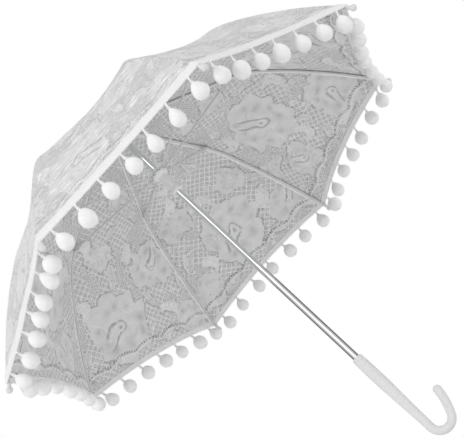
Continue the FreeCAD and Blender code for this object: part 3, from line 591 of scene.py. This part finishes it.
def yarn_material():
    """Soft white yarn, wound from the stem to the bottom."""
    m = Nodes("yarn")
    strand = m.attribute("strand")
    fluff = m.noise(1500.0, 3.0)
    cloudy = m.noise(160.0, 2.0)
    height = m.plus(m.times(strand, 0.6), fluff)
    shade = m.plus(m.times(strand, 0.35), m.times(cloudy, 0.65))
    m.set(Base_Color=m.mix(shade, grey(0.84), grey(0.95)))
    m.set(Roughness=m.plus(0.78, m.times(fluff, 0.15)))
    m.set(Specular_IOR_Level=0.15, Sheen_Weight=0.35, Sheen_Roughness=0.5)
    m.bump(height, 0.00022)
    return m.material


def metal_material(name, dark, light, metal, rough, drawn, depth):
    """Metal with fine drawing marks along the shaft's axis and a little unevenness."""
    m = Nodes(name)
    marks = m.noise(drawn, 3.0, (1.0, 1.0, 0.04))
    cloudy = m.noise(90.0, 2.0)
    m.set(Base_Color=m.mix(cloudy, grey(dark, -0.01), grey(light, -0.01)))
    m.set(Metallic=metal, Roughness=m.plus(rough, m.times(marks, rough * 0.8)))
    m.bump(marks, depth)
    return m.material


def plastic_material(name, low, high, rough, shine):
    """Moulded plastic: faint flow marks and uneven polish."""
    m = Nodes(name)
    flow = m.noise(35.0, 1.0, (1.0, 1.0, 0.4))
    wear = m.noise(70.0, 1.0)
    m.set(Base_Color=m.mix(flow, grey(low), grey(high)))
    m.set(Roughness=m.plus(rough, m.times(wear, 0.08)), Specular_IOR_Level=shine)
    return m.material


# Lit and shaded copies of one lace: the inside copy is painted darker all over, as painted shade under
# the canopy, with its holes darker still.
shaded_inside_lace = lace_material("lace_inside_shaded", 0.90, 0.50, 0.76, 0.00050, 1.0, 0.12)
outside_lace = lace_material("lace_outside", 0.95, 0.78, 0.87, 0.00110, 0.35, 0.80)
braid = braid_material()
yarn = yarn_material()
chrome = metal_material("chrome", 0.82, 0.90, 1.0, 0.09, 1500.0, 0.0000006)
steel = metal_material("rib_steel", 0.64, 0.74, 0.20, 0.50, 900.0, 0.00001)
rivet_steel = metal_material("bright_steel", 0.30, 0.42, 1.0, 0.22, 900.0, 0.00001)
white_plastic = plastic_material("white_plastic", 0.71, 0.76, 0.45, 0.30)
grey_plastic = plastic_material("grey_plastic", 0.80, 0.88, 0.50, 0.30)

# ---------------------------------------------------------------- CAD nodes that stay
finishes = (
    ("shaft_tube", chrome), ("ferrule", white_plastic),
    ("canopy_cap", white_plastic), ("runner_wire", steel), ("runner", grey_plastic),
    ("top_notch_wire", steel), ("top_notch", grey_plastic), ("stop_pin", steel),
    ("top_spring", steel), ("bottom_spring", steel), ("rib_tip", white_plastic),
    ("rivet", rivet_steel), ("rib_", steel), ("stretcher_", steel),
)
for name, node in frame["nodes"].items():
    for start, finish in finishes:
        if name.startswith(start):
            node.data.materials.clear()
            node.data.materials.append(finish)
            break


# ---------------------------------------------------------------- handle
GRIP_TOP = 0.0290
HOOK_START = -0.0448
HOOK_RADIUS = 0.0090
HOOK_TURN = math.radians(150.0)
LIMB_SWEEP = 0.0500
LIMB_TURN = math.radians(27.0)
LIMB_RADIUS = 0.0033
LIMB_ROUND = 0.0031


def make_handle():
    """The white handle, in one smooth skin: a swelling grip that bends into an open hook."""
    straight = GRIP_TOP - HOOK_START
    bend = straight + HOOK_RADIUS * HOOK_TURN
    end = bend + LIMB_SWEEP * LIMB_TURN
    runs = np.concatenate([[0.0, 0.0001, 0.0003, 0.0006],
                           np.linspace(0.001, straight, 60)[:-1],
                           np.linspace(straight, bend, 50)[:-1],
                           np.linspace(bend, end - LIMB_ROUND, 16)[:-1],
                           end - LIMB_ROUND * (1 - np.sin(np.linspace(0, math.pi / 2, 14)))])
    profile = np.interp(runs, [0.0, 0.0001, 0.0003, 0.0006, 0.0022, 0.0110, 0.0290, 0.0514, straight],
                        [0.0029, 0.0034, 0.0038, 0.0040, 0.0044, 0.00464, 0.00464, 0.00375, LIMB_RADIUS])
    profile[4:60] = np.convolve(np.pad(profile[4:60], 4, mode="edge"), np.ones(9) / 9, "valid")
    to_end = np.clip((runs - (end - LIMB_ROUND)) / LIMB_ROUND, 0, 1)
    profile = profile * np.sqrt(1.00001 - to_end ** 2)
    turned = np.clip((runs - straight) / HOOK_RADIUS, 0, HOOK_TURN)
    swept = np.clip((runs - bend) / LIMB_SWEEP, 0, LIMB_TURN)
    x = HOOK_RADIUS * (1 - np.cos(turned)) + LIMB_SWEEP * (np.cos(turned) - np.cos(turned + swept))
    z = (GRIP_TOP - np.minimum(runs, straight) - HOOK_RADIUS * np.sin(turned)
         - LIMB_SWEEP * (np.sin(turned + swept) - np.sin(turned)))
    lean = turned + swept
    sides = 48
    around = np.linspace(0, math.tau, sides, endpoint=False)[None, :]
    out = profile[:, None] * np.cos(around)
    points = np.stack([x[:, None] + out * np.cos(lean)[:, None],
                       profile[:, None] * np.sin(around),
                       z[:, None] + out * np.sin(lean)[:, None]], -1)
    a = np.arange(len(runs) * sides).reshape(len(runs), sides)
    b = np.roll(a, -1, axis=1)
    faces = np.stack([a[:-1], a[1:], b[1:], b[:-1]], -1).reshape(-1, 4)
    return new_object("smooth_handle", points.reshape(-1, 3), [faces], [white_plastic])


handle = make_handle()
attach(handle, "frame")
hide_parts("handle")


# ---------------------------------------------------------------- lace panels
LACE_ROWS = 200
LACE_COLUMNS = 142
LACE_START = 0.0040


def make_lace(rib):
    """One panel: the lace from the middle of one gore to the middle of the next, over its rib."""
    run = np.linspace(LACE_START, FULL_RUN - HEM_BACK, LACE_ROWS)[:, None]
    half = np.linspace(0.0005, 1, LACE_COLUMNS // 2)
    part = np.concatenate([-half[::-1], half])[None, :]
    radius, _, _ = rib_line(run)
    width = radius * math.sin(HALF)
    cloth = np.full((LACE_ROWS, LACE_COLUMNS), -NOWHERE)
    cord = np.full_like(cloth, NOWHERE)
    slit = np.full_like(cloth, -NOWHERE)
    shade = np.zeros_like(cloth)
    uv = np.zeros((LACE_ROWS, LACE_COLUMNS, 2))
    for side in (-1, 1):
        gore = rib if side > 0 else (rib + SIDES - 2) % SIDES + 1
        here = (part < 0) if side < 0 else (part >= 0)
        here = np.broadcast_to(here, cloth.shape)
        u = -side * (1 - np.abs(part)) * width
        v = np.broadcast_to(run, u.shape)
        drawing = Drawing(u, v, 1.7 * gore)
        draw_gore(drawing, gore)
        cloth = np.where(here, drawing.cloth, cloth)
        cord = np.where(here, drawing.cord, cord)
        slit = np.where(here, drawing.slit, slit)
        shade = np.where(here, drawing.shade, shade)
        shift = 0.0031 * gore
        uv = np.where(here[..., None], np.stack([u + shift, v], -1), uv)
    from_rib = part * width
    band = smooth(from_rib, 0.0004, 0.0008) * (1 - smooth(from_rib, 0.0030, 0.0034))
    band = np.ones_like(cloth) * band
    relief = 0.00028 * smooth(cloth, -0.0004, 0.0006) + 0.00014 * (1 - smooth(cord, 0.0004, 0.0011))
    relief -= 0.00030 * shade
    relief -= 0.00025 * smooth(slit, -0.0002, 0.0004)
    relief *= smooth(np.abs(from_rib), 0.001, 0.004)
    inner = canopy(rib, run, part, CLOTH_LIFT - 0.5 * relief - 0.00055 * band)
    outer = canopy(rib, run, part, CLOTH_LIFT + CLOTH_THICK + 0.6 * relief)
    count = LACE_ROWS * LACE_COLUMNS
    points = np.concatenate([outer.reshape(-1, 3), inner.reshape(-1, 3)])
    ring = np.concatenate([
        np.arange(LACE_COLUMNS),
        np.arange(1, LACE_ROWS) * LACE_COLUMNS + LACE_COLUMNS - 1,
        count - 1 - np.arange(1, LACE_COLUMNS),
        np.arange(LACE_ROWS - 2, 0, -1) * LACE_COLUMNS,
    ])
    after = np.roll(ring, -1)
    rim = np.stack([ring, ring + count, after + count, after], -1)[:, ::-1]
    outer_faces = grid_faces(LACE_ROWS, LACE_COLUMNS, 0, True)
    inner_faces = grid_faces(LACE_ROWS, LACE_COLUMNS, count)
    lace = new_object(f"lace_{rib}", points, [outer_faces, inner_faces, rim],
                      [outside_lace, shaded_inside_lace], (0, 1, 0), True)
    set_uv(lace, np.tile(uv.reshape(-1, 2), (2, 1)))
    drawn = (("cloth", cloth), ("cord", cord), ("slit", slit), ("shade", shade), ("band", band))
    for name, inner_values in drawn:
        outer_values = 0 * band if name == "band" else inner_values
        point_values(lace, name, np.concatenate([outer_values.ravel(), inner_values.ravel()]))
    area = float(2 * width.mean() * (FULL_RUN - HEM_BACK - LACE_START))
    return lace, area


# ---------------------------------------------------------------- braid along the hem
BRAID_OUT = 0.0080                  # how far the braid reaches up outside the hem
BRAID_IN = 0.0045                   # and inside it
BRAID_THICK = 0.00042
BRAID_FOLD = 0.0009                 # the rounded fold itself, along the lace
BRAID_COLUMNS = 241
PICOT = 0.0024                      # width of one picot


def make_braid(rib):
    """A white braid folded over the hem, its outer edge in small picots."""
    columns = BRAID_COLUMNS
    part = np.linspace(-1, 1, columns)
    inner_lift = CLOTH_LIFT - 0.00004
    outer_lift = CLOTH_LIFT + CLOTH_THICK + 0.00034
    half_gap = (outer_lift - inner_lift) / 2
    middle_lift = (outer_lift + inner_lift) / 2
    across = np.abs(part) * FULL_RADIUS * math.sin(HALF)
    picot = 0.0007 * np.abs(np.sin(across * math.pi / PICOT)) - 0.0003
    path = []
    for share in np.linspace(0, 1, 9):
        path.append((FULL_RUN - BRAID_FOLD - (BRAID_OUT - BRAID_FOLD + picot) * (1 - share),
                     outer_lift, 0.0, 1.0, 0.00008 * math.sin(share * 9)))
    for angle in np.linspace(0.0, math.pi, 7)[1:-1]:
        path.append((FULL_RUN - BRAID_FOLD + BRAID_FOLD * math.sin(angle) + 0 * part,
                     middle_lift + half_gap * math.cos(angle), math.sin(angle), math.cos(angle), 0.0))
    for share in np.linspace(0, 1, 6):
        path.append((FULL_RUN - BRAID_FOLD - (BRAID_IN - BRAID_FOLD) * share + 0 * part,
                     inner_lift, 0.0, -1.0, 0.0))
    skins = []
    lengths = [0.0]
    for k in range(1, len(path)):
        lengths.append(lengths[-1] + math.hypot(float(np.mean(path[k][0] - path[k - 1][0])),
                                                path[k][1] - path[k - 1][1]))
    for offset in (BRAID_THICK, 0.0):
        rows = []
        for run, lift, outward, upward, wave in path:
            rows.append(canopy(rib, run + offset * outward, part, lift + (offset + wave) * upward))
        skins.append(np.stack(rows))
    rows = len(path)
    count = rows * columns
    points = np.concatenate([skin.reshape(-1, 3) for skin in skins])
    ring = np.concatenate([
        np.arange(columns),
        np.arange(1, rows) * columns + columns - 1,
        count - 1 - np.arange(1, columns),
        np.arange(rows - 2, 0, -1) * columns,
    ])
    after = np.roll(ring, -1)
    rim = np.stack([ring, after, after + count, ring + count], -1)
    skin_faces = [grid_faces(rows, columns), grid_faces(rows, columns, count, True)]
    made = new_object(f"braid_{rib}", points, skin_faces + [rim[:, ::-1]], [braid], None, True)
    u = part * FULL_RADIUS * math.sin(HALF)
    uv = np.stack([np.broadcast_to(u, (rows, columns)),
                   np.broadcast_to(np.array(lengths)[:, None], (rows, columns))], -1).reshape(-1, 2)
    set_uv(made, np.tile(uv, (2, 1)))
    return made


# ---------------------------------------------------------------- pom-poms
POM_RADIUS = 0.0060
POM_DROP = 0.0118
POM_INWARD = 0.0035
POMS_A_SIDE = 7


def pom_parts():
    """Where the pom-poms hang along one panel's hem: evenly round the rim, one of them shared."""
    step = 2 / POMS_A_SIDE
    ends = [step / 2 + step * k for k in range(POMS_A_SIDE // 2)]
    return [-p for p in reversed(ends)] + ends + [1.0]


def tube(start, end, radius, twist, phase, sides=8, steps=8):
    """A strand winding round the line from start to end."""
    start, end = np.array(start), np.array(end)
    axis = (end - start) / np.linalg.norm(end - start)
    x = np.cross(axis, (0.3, 0.5, 0.8))
    x /= np.linalg.norm(x)
    y = np.cross(axis, x)
    rows = []
    for share in np.linspace(0, 1, steps):
        turn = phase + twist * share
        middle = start + (end - start) * share + radius * 0.8 * (math.cos(turn) * x + math.sin(turn) * y)
        ring = np.linspace(0, math.tau, sides, endpoint=False)
        rows.append(middle + radius * (np.cos(ring)[:, None] * x + np.sin(ring)[:, None] * y))
    a = np.arange(steps * sides).reshape(steps, sides)
    b = np.roll(a, -1, axis=1)
    return np.concatenate(rows), np.stack([a[:-1], b[:-1], b[1:], a[1:]], -1).reshape(-1, 4)


def pom_ball(centre, stem, chance):
    """One yarn ball with its shoulder towards the stem; returns points, faces and strand shading."""
    around, down = 44, 26
    phi = np.linspace(0.0, math.pi, down)[:, None]
    theta = np.linspace(0, math.tau, around, endpoint=False)[None, :]
    size = POM_RADIUS * chance.uniform(0.94, 1.06)
    point = chance.uniform(0.0, 0.8)
    long = chance.uniform(1.02, 1.14)
    lean = chance.uniform(-0.10, 0.10)
    shape = np.sin(phi) * (1 - 0.20 * point * (1 + np.cos(phi)) ** 2 / 2)
    lumps = np.zeros((down, around))
    for k in range(6):
        tall = chance.uniform(-0.022, 0.022)
        turned = (k % 3 + 1) * theta + chance.uniform(0, 6)
        lumps += tall * np.cos(turned) * np.sin(phi * (k // 2 + 1)) ** 2
    swirl = 0.5 * np.cos(phi) + chance.uniform(0, 6)
    strand = np.cos(15 * (theta + swirl)) * np.sin(phi) ** 0.5
    strand = strand + 0.5 * np.cos(23 * (theta - 0.4 * swirl) + 1.7)
    radius = size * (1 + lumps + 0.013 * strand)
    axis = Vector(stem).normalized()
    frame_x = axis.orthogonal().normalized()
    frame_y = axis.cross(frame_x)
    local_x = radius * shape * np.cos(theta) + lean * size * np.cos(phi) ** 2
    local_y = radius * shape * np.sin(theta)
    local_z = radius * long * np.cos(phi) + 0.25 * point * size * np.clip(np.cos(phi), 0, 1) ** 3
    points = (np.array(centre)
              + local_x[..., None] * np.array(frame_x)
              + local_y[..., None] * np.array(frame_y)
              + local_z[..., None] * np.array(axis))
    a = np.arange(down * around).reshape(down, around)
    b = np.roll(a, -1, axis=1)
    faces = np.stack([a[:-1], a[1:], b[1:], b[:-1]], -1).reshape(-1, 4)
    return points.reshape(-1, 3), faces, (0.5 + 0.33 * strand).ravel()


def make_pompoms(rib):
    """Seven yarn pom-poms on short two-strand stems, from under the braid."""
    chance = random.Random(900 + rib)
    points, faces, strand, first = [], [], [], 0
    for part in pom_parts():
        part = np.array([part])
        at = canopy(rib, np.array([FULL_RUN - 0.0004]), part, CLOTH_LIFT)[0]
        flat = np.array([at[0], at[1], 0.0]) / math.hypot(at[0], at[1])
        tangent = np.array([-flat[1], flat[0], 0.0])
        fall = chance.uniform(0.92, 1.06)
        centre = (at + np.array([0, 0, -POM_DROP * fall]) - flat * POM_INWARD * chance.uniform(0.7, 1.3)
                  + tangent * chance.uniform(-0.0015, 0.0015))
        stem = at - centre
        top = centre + stem * 0.42
        made = [pom_ball(centre, stem, chance)]
        for phase in (0.0, math.pi):
            tube_points, tube_faces = tube(at + stem * 0.04, top, 0.00066, 4.0, phase)
            made.append((tube_points, tube_faces, np.full(len(tube_points), 0.7)))
        for some_points, some_faces, some_strand in made:
            points.append(some_points)
            faces.append(some_faces + first)
            strand.append(some_strand)
            first += len(some_points)
    pompoms = new_object(f"pompoms_{rib}", np.concatenate(points), [np.concatenate(faces)], [yarn])
    point_values(pompoms, "strand", np.concatenate(strand))
    return pompoms


for rib in range(1, SIDES + 1):
    lace, area = make_lace(rib)
    trim = make_braid(rib)
    pompoms = make_pompoms(rib)
    for piece in (lace, trim, pompoms):
        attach(piece, f"rib_{rib}")
        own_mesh(piece)
    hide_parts(f"lace_panel_{rib}")
    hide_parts(f"pompom_trim_{rib}")

# ---------------------------------------------------------------- studio
FLOOR = -0.25
FLOOR_HALF = 6.0
SURROUND = 0.78                     # strength of the surround that lights the object
MIRRORED_FRONT = 1.4                # and of what reflections show, from the front to the back
MIRRORED_MIDDLE = 0.58
MIRRORED_BACK = 0.16
AIM = (0.0, 0.0, 0.22)              # where the key, fill and rear lamps point


def make_floor():
    """A plain pale floor, well below the object."""
    m = Nodes("floor")
    cloudy = m.noise(3.0, 2.0)
    m.set(Base_Color=m.mix(cloudy, grey(0.86), grey(0.88)), Roughness=0.8)
    sides = (-FLOOR_HALF, FLOOR_HALF)
    corners = np.array([(x, y, FLOOR) for y in sides for x in sides])
    floor = new_object("floor", corners, [grid_faces(2, 2)], [m.material])


def make_light(name, place, aim, size, power, mirrored=False):
    """A soft box of that width and height.

    A mirrored one shows only in reflections, and the others never show there.
    """
    data = bpy.data.lights.new(name, "AREA")
    data.shape = "RECTANGLE"
    data.size, data.size_y = size
    data.energy = power
    lamp = bpy.data.objects.new(name, data)
    lamp.location = place
    lamp.rotation_mode = "QUATERNION"
    lamp.rotation_quaternion = (Vector(aim) - Vector(place)).to_track_quat("-Z", "Y")
    lamp.visible_camera = False
    lamp.visible_glossy = mirrored
    lamp.visible_diffuse = not mirrored
    bpy.context.scene.collection.objects.link(lamp)


def make_world():
    """White to the camera, a soft surround for the light, and a darker back in the reflections."""
    world = bpy.data.worlds.new("studio")
    world.use_nodes = True
    bpy.context.scene.world = world
    tree = world.node_tree
    tree.nodes.clear()
    link = tree.links.new
    path = tree.nodes.new("ShaderNodeLightPath")

    def background(level):
        node = tree.nodes.new("ShaderNodeBackground")
        node.inputs["Color"].default_value = (1, 1, 1, 1)
        node.inputs["Strength"].default_value = level
        return node.outputs[0]

    def ramp(low, high):
        node = tree.nodes.new("ShaderNodeMapRange")
        node.interpolation_type = "SMOOTHSTEP"
        link(split.outputs["Y"], node.inputs["Value"])
        node.inputs["From Min"].default_value = low
        node.inputs["From Max"].default_value = high
        return node.outputs["Result"]

    def choose(share, first, second):
        node = tree.nodes.new("ShaderNodeMixShader")
        link(share, node.inputs["Fac"])
        link(first, node.inputs[1])
        link(second, node.inputs[2])
        return node.outputs[0]

    where = tree.nodes.new("ShaderNodeTexCoord")
    split = tree.nodes.new("ShaderNodeSeparateXYZ")
    link(where.outputs["Generated"], split.inputs[0])
    mirrored = choose(ramp(-0.92, -0.80), background(MIRRORED_FRONT), background(MIRRORED_MIDDLE))
    mirrored = choose(ramp(-0.45, 0.10), mirrored, background(MIRRORED_BACK))
    lit = choose(path.outputs["Is Glossy Ray"], background(SURROUND), mirrored)
    out = tree.nodes.new("ShaderNodeOutputWorld")
    link(choose(path.outputs["Is Camera Ray"], lit, background(1.0)), out.inputs["Surface"])


make_floor()
make_world()
make_light("key", (-0.9, -1.3, 0.9), AIM, (0.9, 0.9), 9.0)
make_light("fill", (1.4, -0.6, 0.2), AIM, (0.8, 0.8), 3.0)
make_light("rear", (0.7, 1.4, 0.8), AIM, (0.9, 0.9), 1.5)
make_light("under", (0.0, -0.042, 0.205), (0.0, 0.10, 0.205), (0.012, 0.170), 0.015, True)

bpy.context.scene.view_settings.view_transform = "Standard"

# ---------------------------------------------------------------- camera
CAMERA_PLACE = (0.0377, -0.8341, -0.1555)
CAMERA_LOOK = (-0.0271, 0.9286, 0.3701)
CAMERA_ROLL = math.radians(-47.34)
CAMERA_LENS = 88.39                 # millimetres, as the sensor's width is
SENSOR_WIDTH = 36.0

camera_data = bpy.data.cameras.new("camera")
camera_data.lens = CAMERA_LENS
camera_data.sensor_width = SENSOR_WIDTH
camera = bpy.data.objects.new("camera", camera_data)
camera.location = CAMERA_PLACE
camera.rotation_mode = "QUATERNION"
look = Vector(CAMERA_LOOK).to_track_quat("-Z", "Y")
camera.rotation_quaternion = look @ Quaternion((0, 0, 1), CAMERA_ROLL)
bpy.context.scene.collection.objects.link(camera)
bpy.context.scene.camera = camera
